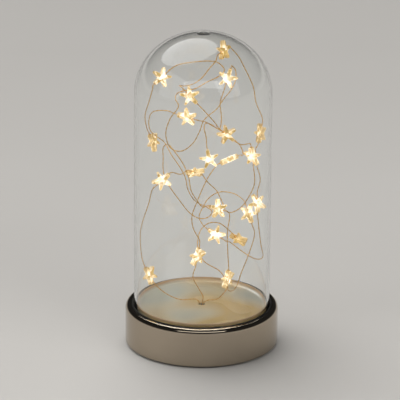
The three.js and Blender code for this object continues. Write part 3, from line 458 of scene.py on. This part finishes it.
def star_acrylic():
    """Amber acrylic lit from its middle. The star_look attribute holds how far the light has faded, the
    nearness to a rounded edge, which is painted lighter as a highlight, and whether it is on the rim, which
    is painted darker as shade. The glow runs down a ramp: white, cream, gold, then amber. Flecks, each of
    one tone, are painted light and shade of facets: each lights or darkens a patch."""
    finish = Finish("star_acrylic")
    look = finish.node("ShaderNodeAttribute", {"attribute_name": "star_look"}, output="Vector")
    fade, edge, rim = (finish.part(look, axis) for axis in "XYZ")
    cells = {"Vector": finish.place(), "Scale": 330}
    painted_facet_light = finish.part(finish.node("ShaderNodeTexVoronoi", {"feature": "F1"}, cells, output="Color"), "X")
    # the glow carries a painted highlight at rounded edges, painted shade on the rim and painted facet
    # light
    glow = finish.ramp(
        fade - 0.24 * edge + 0.2 * rim + 0.46 * painted_facet_light - 0.16,
        [(0.1, (1.0, 0.94, 0.88)), (0.26, (0.68, 0.55, 0.36)),
         (0.44, (0.36, 0.25, 0.08)), (0.8, (0.18, 0.10, 0.01))],
    )
    # painted facet light and shade on the faces, painted shade on the rim, and a painted highlight at
    # rounded edges
    face = finish.mix(painted_facet_light, (0.80, 0.64, 0.32), (0.34, 0.22, 0.05))
    flat = finish.mix(rim, face, (0.28, 0.16, 0.03))
    return finish.surface(
        base_color=finish.mix(edge, flat, (0.95, 0.87, 0.66)),
        roughness=0.05 + 0.1 * painted_facet_light,
        ior=1.49,
        transmission_weight=0.3,
        emission_color=glow,
        emission_strength=1.0,
    )


def moulded_plastic(name, low, high, roughness):
    """Moulded plastic with a fine spark-eroded grain."""
    finish = Finish(name)
    tone = finish.noise(scale=35, detail=4)
    grain = finish.noise(scale=1500, detail=2)
    return finish.surface(
        base_color=finish.mix(tone, low, high),
        roughness=roughness + 0.15 * tone,
        normal=finish.bump(grain, distance=0.00005, strength=0.5),
    )


def plated_steel():
    """Plated steel, rougher where it is worn."""
    finish = Finish("plated_steel")
    wear = finish.noise(scale=300, detail=4)
    return finish.surface(
        base_color=finish.mix(wear, (0.52, 0.51, 0.48), (0.72, 0.71, 0.68)),
        metallic=1.0,
        roughness=0.22 + 0.2 * wear,
    )


def cell_sleeve():
    """A shrunk plastic sleeve, with a little mottling."""
    finish = Finish("cell_sleeve")
    mottle = finish.noise(scale=120, detail=3)
    return finish.surface(
        base_color=finish.mix(mottle, (0.10, 0.12, 0.15), (0.15, 0.17, 0.20)),
        roughness=0.25 + 0.15 * mottle,
        coat_weight=0.3,
    )


def board_mask():
    """Green solder mask over a woven board."""
    finish = Finish("board_mask")
    weave = finish.noise(scale=800, detail=1, stretch=(1, 3, 1))
    return finish.surface(
        base_color=finish.mix(weave, (0.02, 0.10, 0.045), (0.035, 0.15, 0.07)),
        roughness=0.35 + 0.1 * weave,
        coat_weight=0.3,
    )


def fillet(corners, reach, steps=5):
    """A polyline whose corners are rounded: at each corner c, the curve (1-t)^2 p + 2t(1-t) c + t^2 q,
    where p and q lie `reach` along its two edges. A point on each edge close by keeps the flat beyond it
    flat in shading."""
    most_of_edge = 0.4
    close_by = 1.2
    corners = np.array(corners, float)
    t = np.linspace(0, 1, steps)[:, None]
    line = [corners[:1]]
    for before, corner, after, size in zip(corners, corners[1:], corners[2:], reach):
        start = before - corner
        end = after - corner
        p = corner + start * min(size / np.linalg.norm(start), most_of_edge)
        q = corner + end * min(size / np.linalg.norm(end), most_of_edge)
        line.append(corner + close_by * (p - corner)[None])
        line.append((1 - t) ** 2 * p + 2 * t * (1 - t) * corner + t ** 2 * q)
        line.append(corner + close_by * (q - corner)[None])
    line.append(corners[-1:])
    return np.concatenate(line)


def ellipse(middle, radii, start, end, steps):
    """Points (r, z) on an ellipse from one angle to another, in degrees."""
    angle = np.radians(np.linspace(start, end, steps))[:, None]
    return np.array(middle) + np.array(radii) * np.concatenate([np.cos(angle), np.sin(angle)], axis=1)


def new_object(name, points, faces):
    """A mesh object in the scene. Faces are rows of point numbers."""
    mesh = bpy.data.meshes.new(name)
    mesh.from_pydata(points.tolist(), [], faces)
    made = bpy.data.objects.new(name, mesh)
    bpy.context.collection.objects.link(made)
    return made


def clean(mesh, merge, thin):
    """Joins points closer than `merge`, drops what is smaller than `thin`, and turns faces outward."""
    work = bmesh.new()
    work.from_mesh(mesh)
    bmesh.ops.remove_doubles(work, verts=work.verts, dist=merge)
    bmesh.ops.dissolve_degenerate(work, edges=work.edges, dist=thin)
    bmesh.ops.recalc_face_normals(work, faces=work.faces)
    work.to_mesh(mesh)
    work.free()


def mesh_piece(name, points, faces, materials, replaced, kinds=None, sharp=35, body="base"):
    """A smooth-shaded piece in the frame's own place. Edges sharper than `sharp` degrees stay crisp, and
    `kinds` gives each face's material."""
    piece = new_object(name, points * MM, faces)
    mesh = piece.data
    for material in materials:
        mesh.materials.append(material)
    if kinds is not None:
        mesh.polygons.foreach_set("material_index", kinds)
    clean(mesh, merge=2e-6, thin=1e-6)
    mesh.polygons.foreach_set("use_smooth", np.ones(len(mesh.polygons), bool))
    mesh.set_sharp_from_angle(angle=np.radians(sharp))
    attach(piece, body)
    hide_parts(replaced)
    return piece


def grid_faces(rows, columns, wrap_rows=False):
    """Quads of a grid of points whose rows are rings. With wrap_rows, the last row joins the first."""
    i = np.arange(rows if wrap_rows else rows - 1)[:, None]
    j = np.arange(columns)[None, :]
    down = (i + 1) % rows
    along = (j + 1) % columns
    corners = [i * columns + j, i * columns + along, down * columns + along, down * columns + j]
    return np.stack(np.broadcast_arrays(*corners), axis=-1).reshape(-1, 4)


def turned_piece(name, profile, material, closed, body="base"):
    """A profile (r, z) turned about Z: (r cos a, r sin a, z)."""
    angle = np.linspace(0, 2 * np.pi, TURN_STEPS, endpoint=False)
    r, z = profile[:, :1], profile[:, 1:]
    points = np.stack(np.broadcast_arrays(r * np.cos(angle), r * np.sin(angle), z), axis=-1).reshape(-1, 3)
    faces = grid_faces(len(profile), TURN_STEPS, wrap_rows=closed).tolist()
    mesh_piece(name, points, faces, [material], replaced=name, body=body)


def make_dome(glass):
    """The dome's wall: inside of the crown and the straight, rounded foot, outside of both, and top pip."""
    wall_top = STRAIGHT_TOP - CROWN_LEAD
    pip_top = DOME_TOP + PIP_RISE
    crown_in = ellipse((0, STRAIGHT_TOP), (DOME_INNER, CROWN_RISE - DOME_WALL), 90, 0, CROWN_STEPS)
    wall = fillet(
        [(DOME_INNER, wall_top), (DOME_INNER, DOME_FOOT),
         (DOME_RADIUS, DOME_FOOT), (DOME_RADIUS, wall_top)],
        (DOME_FOOT_ROUND, DOME_FOOT_ROUND),
    )
    crown_out = ellipse((0, STRAIGHT_TOP), (DOME_RADIUS, CROWN_RISE), 0, CROWN_END, CROWN_STEPS)
    pip = fillet(
        [crown_out[-1], (PIP_RADIUS, DOME_TOP + PIP_SIDE), (PIP_TOP_RADIUS, pip_top), (0, pip_top)],
        (PIP_SIDE_ROUND, PIP_TOP_ROUND),
    )
    profile = np.concatenate([crown_in, wall, crown_out, pip[1:]])
    turned_piece("glass_dome", profile, glass, closed=False, body="dome")


def make_housing(chrome):
    """The housing's shell: rolled foot, wall, elliptical shoulder, crest, dome groove, plug, tray shelf."""
    wall_top = SHOULDER_Z - EDGE_ROUND
    foot = fillet(
        [(WALL_INNER, GROOVE_UNDER), (WALL_INNER, HOUSING_BOTTOM),
         (BASE_RADIUS, HOUSING_BOTTOM), (BASE_RADIUS, wall_top)],
        (WALL_EDGE_ROUND, BOTTOM_EDGE_ROUND), steps=7,
    )
    shoulder = ellipse((CREST_OUTER, SHOULDER_Z), (SHOULDER_WIDTH, SHOULDER_RISE), 0, 90, ROUND_STEPS)
    inside_corners = [
        (CREST_OUTER, CREST_Z), (GROOVE_OUTER, CREST_Z),
        (GROOVE_OUTER, GROOVE_FLOOR), (PLUG_OUTER, GROOVE_FLOOR),
        (PLUG_OUTER, SHELF_TOP), (SHELF_INNER, SHELF_TOP),
        (SHELF_INNER, SHELF_UNDER), (PLUG_INNER, SHELF_UNDER),
        (PLUG_INNER, GROOVE_UNDER), (WALL_INNER, GROOVE_UNDER),
    ]
    inside = fillet(inside_corners, (CREST_ROUND, *[EDGE_ROUND] * (len(inside_corners) - 3)))
    profile = np.concatenate([foot[1:], shoulder, inside[1:]])
    turned_piece("base_housing", profile, chrome, closed=True)


def make_gasket(rubber):
    """The gasket's ring: straight sides and a half-round top."""
    radius = GASKET_WIDTH / 2
    round_z = CREST_Z + GASKET_PROUD - radius
    foot = fillet(
        [(GASKET_INNER, round_z), (GASKET_INNER, DOME_FOOT),
         (GASKET_OUTER, DOME_FOOT), (GASKET_OUTER, round_z)],
        (GASKET_FOOT_ROUND, GASKET_FOOT_ROUND), steps=3,
    )
    top = ellipse((GASKET_INNER + radius, round_z), (radius, radius), 0, 180, GASKET_STEPS)
    profile = np.concatenate([foot[1:-1], top])
    turned_piece("dome_gasket", profile, rubber, closed=True)


def make_tray(mirror):
    """The tray: a flat floor from the wire hole out, then an elliptical cove up to its rim."""
    rim = fillet(
        [(WIRE_HOLE_RADIUS, TRAY_UNDER), (TRAY_OUTER, TRAY_UNDER),
         (TRAY_OUTER, TRAY_TOP), (COVE_OUTER, TRAY_TOP)],
        (TRAY_EDGE_ROUND, RIM_ROUND), steps=4,
    )
    cove = ellipse((COVE_INNER, TRAY_TOP), (COVE_WIDTH, COVE_RISE), 0, -90, ROUND_STEPS)
    hole = fillet(
        [(COVE_INNER, TRAY_FLOOR), (WIRE_HOLE_RADIUS, TRAY_FLOOR), (WIRE_HOLE_RADIUS, TRAY_UNDER)],
        (EDGE_ROUND,), steps=4,
    )
    profile = np.concatenate([rim[:-1], cove, hole[1:-1]])
    turned_piece("mirror_tray", profile, mirror, closed=True)


def lay_wire(route):
    """Works out a wire's control points and stars. Through a star, the wire is straight along the line
    from the route's point before to the point after. A star has its place, the wire's way there, its
    blunt tip's way, its turn, and whether no wire goes through its tip."""
    points = []
    stars = []
    for i, stop in enumerate(route):
        place = np.array(stop[:3], float)
        if len(stop) == 3:
            points.append(place)
            continue
        last = i == len(route) - 1
        after = place if last else np.array(route[i + 1][:3], float)
        axis = unit(after - np.array(route[i - 1][:3], float))
        reach = [-STRAIGHT_FAR, -STRAIGHT_NEAR, 0]
        reach += [BEAD_LENGTH / 2] if last else [STRAIGHT_NEAR, STRAIGHT_FAR]
        tip_way = -axis if len(stop) == 5 else axis
        stars.append((place, axis, tip_way, stop[3], last and len(stop) == 4))
        points.extend(place + axis * distance for distance in reach)
    return np.array(points), stars


def wire_curve(points):
    """A centripetal Catmull-Rom curve: between points b and c, with the neighbours a and d, a cubic whose
    end slopes weigh each chord by the root of its length. Returns the points of all spans in order."""
    ends = np.concatenate([2 * points[:1] - points[1:2], points, 2 * points[-1:] - points[-2:-1]])
    a, b, c, d = ends[:-3], ends[1:-2], ends[2:-1], ends[3:]
    ab, bc, cd = (np.linalg.norm(q - p, axis=1, keepdims=True) ** 0.5 for p, q in ((a, b), (b, c), (c, d)))
    slope_b = bc * ((b - a) / ab - (c - a) / (ab + bc) + (c - b) / bc)
    slope_c = bc * ((c - b) / bc - (d - b) / (bc + cd) + (d - c) / cd)
    t = np.linspace(0, 1, SPAN_STEPS, endpoint=False)[None, :, None]
    b, c, slope_b, slope_c = b[:, None], c[:, None], slope_b[:, None], slope_c[:, None]
    spans = (b + slope_b * t + (3 * (c - b) - 2 * slope_b - slope_c) * t ** 2
             + (2 * (b - c) + slope_b + slope_c) * t ** 3)
    return np.concatenate([spans.reshape(-1, 3), points[-1:]])


def even_path(curve):
    """Points at even steps along a curve, and their distances along it."""
    along = np.concatenate([[0], np.cumsum(np.linalg.norm(np.diff(curve, axis=0), axis=1))])
    steps = np.linspace(0, along[-1], int(along[-1] / PATH_STEP))
    path = np.stack([np.interp(steps, along, curve[:, axis]) for axis in range(3)], axis=1)
    return path, steps


def steady_sides(path):
    """Two directions square to a path that turn as little as possible along it: sides from a fixed
    direction, turned back by the running sum of the angle that each gains on the one before."""
    tangent = unit(np.gradient(path, axis=0))
    side = unit(np.cross(tangent, ANY_WAY))
    other = np.cross(tangent, side)
    gain = np.arctan2((side[:-1] * other[1:]).sum(1), (side[:-1] * side[1:]).sum(1))
    angle = np.concatenate([[0], np.cumsum(gain)])[:, None]
    steady = side * np.cos(angle) + other * np.sin(angle)
    return steady, np.cross(tangent, steady)


def tube_points(path, side, other, radius, around):
    """A round tube: path + radius (side cos a + other sin a), with a ring of no size to close each end."""
    angle = np.linspace(0, 2 * np.pi, around, endpoint=False)[None, :, None]
    radius = np.broadcast_to(radius, len(path))[:, None, None]
    rings = path[:, None] + radius * (side[:, None] * np.cos(angle) + other[:, None] * np.sin(angle))
    first = np.broadcast_to(path[0], (1, around, 3))
    last = np.broadcast_to(path[-1], (1, around, 3))
    return np.concatenate([first, rings, last]).reshape(-1, 3)


def bead_points(place, axis):
    """A resin bead on a wire: a tube along the wire's way whose radius swells as an ellipse does."""
    share = np.linspace(-1, 1, BEAD_RINGS)
    middle = place + ABOVE_TRAY + axis * (share * BEAD_LENGTH / 2)[:, None]
    side = unit(np.cross(axis, ANY_WAY))
    sides = np.broadcast_to(side, middle.shape)
    others = np.broadcast_to(np.cross(axis, side), middle.shape)
    return tube_points(middle, sides, others, BEAD_RADIUS * np.sqrt(1 - share ** 2), BEAD_SIDES)


def make_wire(name, copper, bead_resin):
    """One light wire: a twisted pair of lacquered strands, with a resin bead over each lit chip. Returns
    it with its path, its length and its stars."""
    controls, stars = lay_wire(ROUTES[name])
    path, steps = even_path(wire_curve(controls) + ABOVE_TRAY)
    side, other = steady_sides(path)
    twist = (steps / STRAND_PITCH * 2 * np.pi)[:, None]
    lean = side * np.cos(twist) + other * np.sin(twist)
    strand_middle = WIRE_DIAMETER / 4
    strand_radius = strand_middle * STRAND_OVERLAP
    tubes = []
    for offset in (-strand_middle, strand_middle):
        strand = tube_points(path + lean * offset, side, other, strand_radius, STRAND_SIDES)
        tubes.append((strand, STRAND_SIDES, 0))
    for star in stars:
        tubes.append((bead_points(*star[:2]), BEAD_SIDES, 1))
    points = []
    faces = []
    kinds = []
    for tube, sides, kind in tubes:
        quads = grid_faces(len(tube) // sides, sides)
        faces.append(quads + sum(map(len, points)))
        points.append(tube)
        kinds.append(np.full(len(quads), kind))
    piece = mesh_piece(
        f"{name}_strands", np.concatenate(points), np.concatenate(faces).tolist(), [copper, bead_resin],
        replaced=name, kinds=np.concatenate(kinds), sharp=80,
    )
    return piece, path, steps[-1], stars


def star_outline():
    """A five-pointed star whose first tip is the widest: straight edges between the tips' ends and the
    notches, cut into steps, with each corner taken off by averaging points once with their neighbours."""
    tip = np.pi / 2 + 2 * np.pi * np.arange(STAR_POINTS) / STAR_POINTS
    between = tip + np.pi / STAR_POINTS
    width = np.array([STAR_TIP_WIDTH, *[STAR_POINT_WIDTH] * (STAR_POINTS - 1)])[:, None]
    end = STAR_RADIUS * np.stack([np.cos(tip), np.sin(tip)], axis=1)
    across = width / 2 * np.stack([-np.sin(tip), np.cos(tip)], axis=1)
    notch = STAR_NOTCH_RADIUS * np.stack([np.cos(between), np.sin(between)], axis=1)
    corners = np.stack([end - across, end + across, notch], axis=1).reshape(-1, 2)
    share = np.linspace(0, 1, STAR_EDGE_STEPS, endpoint=False)[None, :, None]
    line = (corners[:, None] + (np.roll(corners, -1, axis=0) - corners)[:, None] * share).reshape(-1, 2)
    return (np.roll(line, 1, axis=0) + 2 * line + np.roll(line, -1, axis=0)) / 4


def spare_object(name, points, faces):
    """A mesh to be cut, or to cut with, in millimetres."""
    spare = new_object(name, points, faces.tolist())
    clean(spare.data, merge=1e-4, thin=1e-5)
    return spare


def spare_rod(name, radius, start, end):
    """A closed rod along Y: rings of (radius cos a, y, radius sin a), and one of no size at each end."""
    angle = np.linspace(0, 2 * np.pi, BORE_SIDES, endpoint=False)
    radii = np.array([0, radius, radius, 0])[:, None]
    height = np.array([start, start, end, end])[:, None]
    rings = np.broadcast_arrays(radii * np.cos(angle), height, radii * np.sin(angle))
    points = np.stack(rings, axis=-1).reshape(-1, 3)
    return spare_object(name, points, grid_faces(len(radii), BORE_SIDES))


def star_shape(has_wire_tip):
    """A star cap in its own frame: rings of the outline, scaled and lowered by STAR_FACE, so that the
    faces swell a little to the middle and their edges are rounded over. The bead's bore is cut from the
    notch, and the wire's hole from the tip. Returns its points and faces."""
    outline = star_outline()
    rings = [(share, STAR_THICKNESS / 2 - depth) for share, depth in STAR_FACE]
    rings += [(share, -height) for share, height in reversed(rings)]
    share, height = np.array(rings).T
    flat = share[:, None, None] * outline[None]
    upright = np.broadcast_to(height[:, None, None], (*flat.shape[:2], 1))
    points = np.concatenate([flat, upright], axis=2).reshape(-1, 3)
    star = spare_object("star_blank", points, grid_faces(len(rings), len(outline)))
    bore_end = BEAD_LENGTH / 2 + SEAT_GAP
    cutters = [spare_rod("star_cutter", BEAD_RADIUS + SEAT_GAP, -STAR_RADIUS, bore_end)]
    if has_wire_tip:
        cutters.append(spare_rod("star_cutter", WIRE_DIAMETER / 2 + WIRE_PLAY, 0, 2 * STAR_RADIUS))
    for cutter in cutters:
        cut = star.modifiers.new("bore", "BOOLEAN")
        cut.operation = "DIFFERENCE"
        cut.solver = "EXACT"
        cut.object = cutter
    shape = star.evaluated_get(bpy.context.evaluated_depsgraph_get()).to_mesh()
    points = np.empty(len(shape.vertices) * 3)
    shape.vertices.foreach_get("co", points)
    faces = [list(polygon.vertices) for polygon in shape.polygons]
    for spare in (star, *cutters):
        bpy.data.objects.remove(spare)
    return points.reshape(-1, 3), faces


def make_star(name, shape, place, axis, tip_way, turn, acrylic):
    """One star cap on its wire: the shape's own X, Y and Z become the way across, the tip's way and the
    face's way. Each point carries its look: how far the light has faded there, by the distance from the
    middle and the star's own brightness, its nearness to a rounded edge for a painted highlight, and 1 on
    the rim between the two faces for painted shade."""
    front_way = np.array([0, -1.0, 0])
    face = unit(front_way - (front_way @ axis) * axis)
    angle = np.radians(turn)
    face = face * np.cos(angle) + np.cross(axis, face) * np.sin(angle)
    basis = np.stack([np.cross(tip_way, face), tip_way, face])
    points, faces = shape
    piece = mesh_piece(
        f"{name}_cap", points @ basis + place + ABOVE_TRAY, faces, [acrylic],
        replaced=name, sharp=40,
    )
    mesh = piece.data
    where = np.empty(len(mesh.vertices) * 3)
    mesh.vertices.foreach_get("co", where)
    own = (where.reshape(-1, 3) / MM - place - ABOVE_TRAY) @ basis.T
    distance = np.linalg.norm(own[:, :2], axis=1) / STAR_RADIUS
    fade = FADE_TO_TIP * distance + FADE_UNLIT * (1 - DIM_STARS.get(name, 1.0))
    depth = STAR_THICKNESS / 2 - np.abs(own[:, 2])
    # nearness to a rounded edge, which the acrylic paints lighter as a highlight
    edge = np.interp(depth, EDGE_DEPTHS, EDGE_HIGHLIGHT)
    # the rim, which the acrylic paints darker as shade
    rim = np.interp(depth, RIM_SHADE_DEPTHS, (0, 1))
    look = mesh.attributes.new("star_look", "FLOAT_VECTOR", "POINT")
    look.data.foreach_set("vector", np.stack([fade, edge, rim], axis=1).ravel())
    return piece


def add_string():
    """The light string: three wires with their star caps."""
    copper = copper_wire()
    resin = led_bead()
    acrylic = star_acrylic()
    passing_star = star_shape(has_wire_tip=True)
    end_star = star_shape(has_wire_tip=False)
    star_number = 0
    for wire_name in ROUTES:
        wire, path, length, stars = make_wire(wire_name, copper, resin)
        for place, axis, tip_way, turn, bare_tip in stars:
            star_number += 1
            shape = end_star if bare_tip else passing_star
            make_star(f"star_{star_number:02d}", shape, place, axis, tip_way, turn, acrylic)
        exit_point = (path[0] + [0, 0, WIRE_TAIL]) * MM
        length * MM
        (path * MM).tolist()


def numbered(name, count):
    return [f"{name}_{number}" for number in range(1, count + 1)]


def dress(material, *names):
    """Gives CAD nodes a finish."""
    for name in names:
        data = nodes[name].data
        data.materials.clear()
        data.materials.append(material)


def dress_cad_pieces(rubber):
    """Finishes for the pieces that keep their CAD shape: those of the underside and inside the base."""
    dark_plastic = moulded_plastic("dark_plastic", (0.022, 0.022, 0.021), (0.04, 0.039, 0.037), 0.42)
    knob_plastic = moulded_plastic("knob_plastic", (0.62, 0.60, 0.56), (0.70, 0.68, 0.64), 0.4)
    lacquer = moulded_plastic("resistor_lacquer", (0.52, 0.40, 0.22), (0.62, 0.48, 0.28), 0.35)
    red = moulded_plastic("red_insulation", (0.26, 0.02, 0.018), (0.33, 0.03, 0.025), 0.35)
    black = moulded_plastic("black_insulation", (0.014, 0.014, 0.014), (0.03, 0.03, 0.03), 0.35)
    steel = plated_steel()
    dress(dark_plastic, "bottom_plate", "battery_door", "switch_body")
    dress(knob_plastic, "switch_knob")
    dress(rubber, *numbered("rubber_foot", 4))
    dress(steel, *numbered("battery_spring", 3), *numbered("contact_terminal", 2))
    dress(steel, *numbered("contact_bridge", 2), *numbered("plate_screw", 3))
    dress(cell_sleeve(), *numbered("aa_cell", 3))
    dress(board_mask(), "control_board")
    dress(lacquer, "dropper_resistor")
    dress(red, "lead_battery", "lead_switch")
    dress(black, "lead_return")


def add_floor():
    """A wide pale floor."""
    finish = Finish("floor")
    tone = finish.noise(scale=3, detail=4)
    corners = FLOOR_REACH * np.array([[-1, -1, 0], [1, -1, 0], [1, 1, 0], [-1, 1, 0]])
    floor = new_object("floor", corners, [(0, 1, 2, 3)])
    floor.data.materials.append(
        finish.surface(base_color=finish.mix(tone, PALE, (0.60, 0.58, 0.55)), roughness=0.75),
    )


def add_surroundings():
    """The world: pale like the floor up to a little above the horizon, so that the floor has no edge, and
    dark above that, so that the metal's shoulder reflects dark."""
    finish = Finish("studio", bpy.data.worlds)
    height = finish.part(finish.node("ShaderNodeTexCoord", output="Generated"), "Z")
    tone = finish.ramp(height, [(0.07, PALE), (0.13, (0.03, 0.03, 0.03)), (0.9, (0.02, 0.02, 0.02))])
    background = finish.node("ShaderNodeBackground", None, {"Color": tone, "Strength": 1.0})
    finish.node("ShaderNodeOutputWorld", None, {"Surface": background})
    bpy.context.scene.world = finish.material


def add_lamps():
    """Soft lamps that face the object. Only the front one is mirrored, as a thin line on the shoulder."""
    for name, (place, size, power) in LAMPS.items():
        data = bpy.data.lights.new(name, "AREA" if size else "SUN")
        if size:
            data.shape = "RECTANGLE"
            data.size, data.size_y = size
        else:
            data.angle = np.radians(KEY_SPREAD)
        data.energy = power
        lamp = bpy.data.objects.new(name, data)
        backward = unit(np.array(place) - np.array(LAMP_AIM))
        side = unit(np.cross([0, 0, 1], backward))
        matrix = np.eye(4)
        matrix[:3, :3] = np.stack([side, np.cross(backward, side), backward], axis=1)
        matrix[:3, 3] = place
        lamp.matrix_world = Matrix(matrix.tolist())
        lamp.visible_glossy = name == "front_lamp"
        bpy.context.collection.objects.link(lamp)


add_camera()
add_string()
make_dome(clear_glass())
make_housing(chrome_plate())
rubber = gasket_rubber()
make_gasket(rubber)
make_tray(tray_mirror())
dress_cad_pieces(rubber)
add_floor()
add_surroundings()
add_lamps()
bpy.context.scene.view_settings.view_transform = "Standard"
